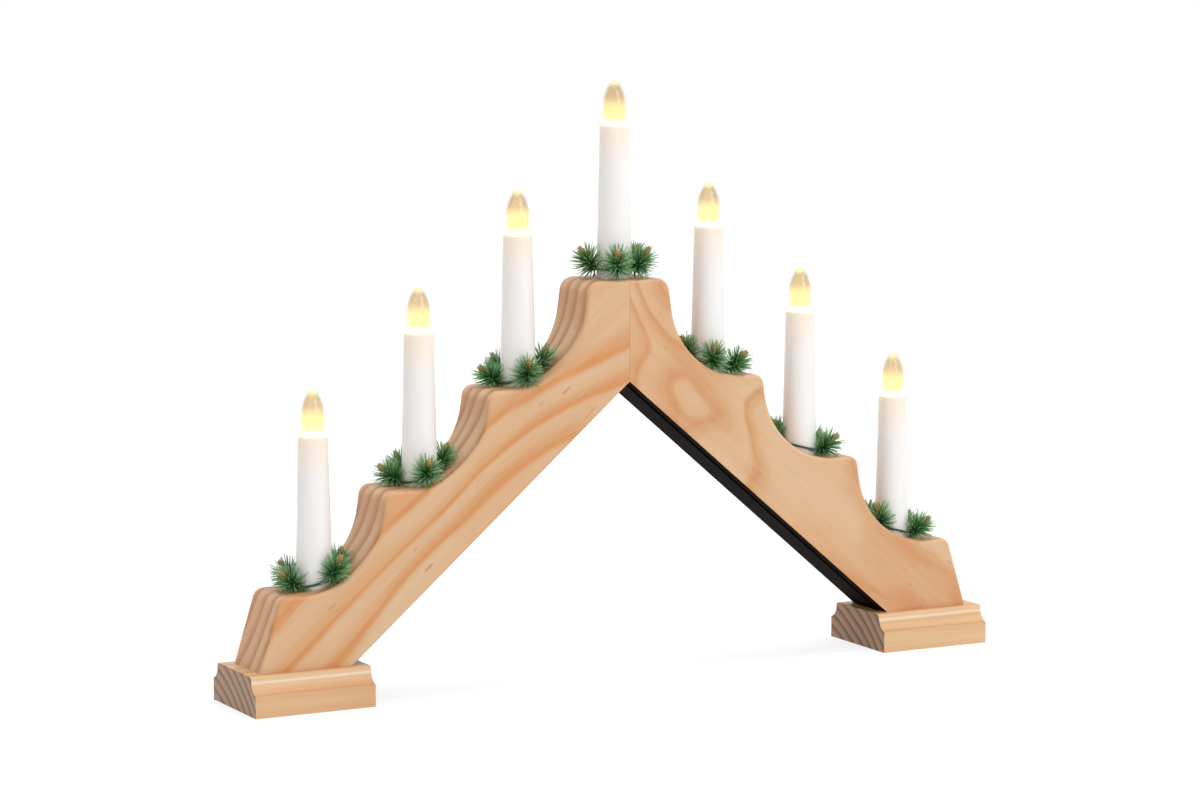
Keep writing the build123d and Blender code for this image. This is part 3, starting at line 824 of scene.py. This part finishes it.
def makeCones(number, material, draw):
    shape = newShade()
    scaleLength = cone["scaleLength"] * mm
    lowLean, highLean = cone["scaleLean"]
    flatten = Matrix.Scale(cone["scaleFlat"], 4, Vector((0, 1, 0)))
    for tie, stem in sprigs(number):
        base = tie + stem * cone["start"] * mm
        tone = draw.random()
        length = cone["length"] * draw.uniform(0.9, 1.08) * mm
        turn = stem.to_track_quat("Z", "Y").to_matrix().to_4x4()
        core = bmesh.ops.create_uvsphere(shape, u_segments=10, v_segments=8, radius=1.0)["verts"]
        coreRadius = cone["radius"] * cone["coreShare"] * mm
        swell = Matrix.Diagonal((coreRadius, coreRadius, length / 2, 1))
        place = Matrix.Translation(base + stem * length / 2) @ turn @ swell
        bmesh.ops.transform(shape, verts=core, matrix=place)
        pushShade(shape, core, base, stem, length, tone)
        for row in range(cone["rows"]):
            share = (row + 0.35) / cone["rows"]
            reach = cone["radius"] * mm * sin(pi * (0.12 + 0.80 * share)) ** 0.8
            for index in range(cone["scalesInRow"]):
                around = radians(goldenAngle * row) + tau * index / cone["scalesInRow"]
                outwards = turn.to_3x3() @ Vector((cos(around), sin(around), 0))
                lean = radians(lowLean + (highLean - lowLean) * share)
                direction = (stem * cos(lean) + outwards * sin(lean)).normalized()
                root = base + stem * length * share * 0.86 + outwards * reach * 0.55
                made = bmesh.ops.create_cone(shape, cap_ends=True, segments=5, depth=scaleLength,
                                             radius1=cone["scaleWidth"] / 2 * mm,
                                             radius2=cone["scaleTip"] * mm)["verts"]
                place = standing(root, direction, scaleLength, outwards) @ flatten
                bmesh.ops.transform(shape, verts=made, matrix=place)
                pushShade(shape, made, root, direction, scaleLength, (tone + 0.3 * draw.random()) / 1.3)
    makePiece(f"cone_buds_{number}", shape, material, f"wreath_{number}", "needles")


def clearLength(root, direction, length, obstacle):
    hit = obstacle.ray_cast(root, direction, length + needle["clearance"] * mm)[0]
    if hit is None:
        return length
    return (hit - root).length - needle["clearance"] * mm


def makeNeedles(number, material, obstacle, draw):
    shape = newShade()
    for tie, stem in sprigs(number):
        side = stem.orthogonal().normalized()
        for index in range(needle["count"]):
            share = (index + 0.5) / needle["count"]
            polar = needle["lowAngle"] + (needle["highAngle"] - needle["lowAngle"]) * share ** 0.8
            polar = radians(polar + draw.uniform(-1, 1) * needle["jitter"])
            turn = radians(goldenAngle * index + draw.uniform(-1, 1) * needle["jitter"])
            outwards = Matrix.Rotation(turn, 3, stem) @ side
            direction = (outwards * sin(polar) + stem * cos(polar)).normalized()
            root = tie + stem * (needle["start"] + needle["coreLength"] * share) * mm
            root += outwards * needle["rootOffset"] * mm
            length = clearLength(root, direction, draw.uniform(*needle["length"]) * mm, obstacle)
            if length < needle["shortest"] * mm:
                continue
            made = bmesh.ops.create_cone(shape, cap_ends=True, segments=4, depth=length,
                                         radius1=needle["width"] / 2 * mm,
                                         radius2=needle["tipWidth"] / 2 * mm)["verts"]
            bmesh.ops.transform(shape, verts=made, matrix=standing(root, direction, length, stem))
            pushShade(shape, made, root, direction, length, draw.random())
    names = f"needle_sprigs_{number}", f"wreath_{number}", f"wreath_needles_{number}"
    makePiece(names[0], shape, material, names[1], "needles", names[2])


wreathDraw = random.Random(7)
needleMaterial, coneMaterial = needleFinish(), coneFinish()
wireMaterial, stubMaterial = wireFinish(), stubFinish()
woodSurface = surfaceTree("arm_left", "arm_right")
for number in candleNumbers:
    makeWire(number, wireMaterial)
    makeStems(number, stubMaterial, woodSurface)
    makeCones(number, coneMaterial, wreathDraw)
    around = surfaceTree("arm_left", "arm_right", f"candle_sleeve_{number}")
    makeNeedles(number, needleMaterial, around, wreathDraw)
print("wreaths made")
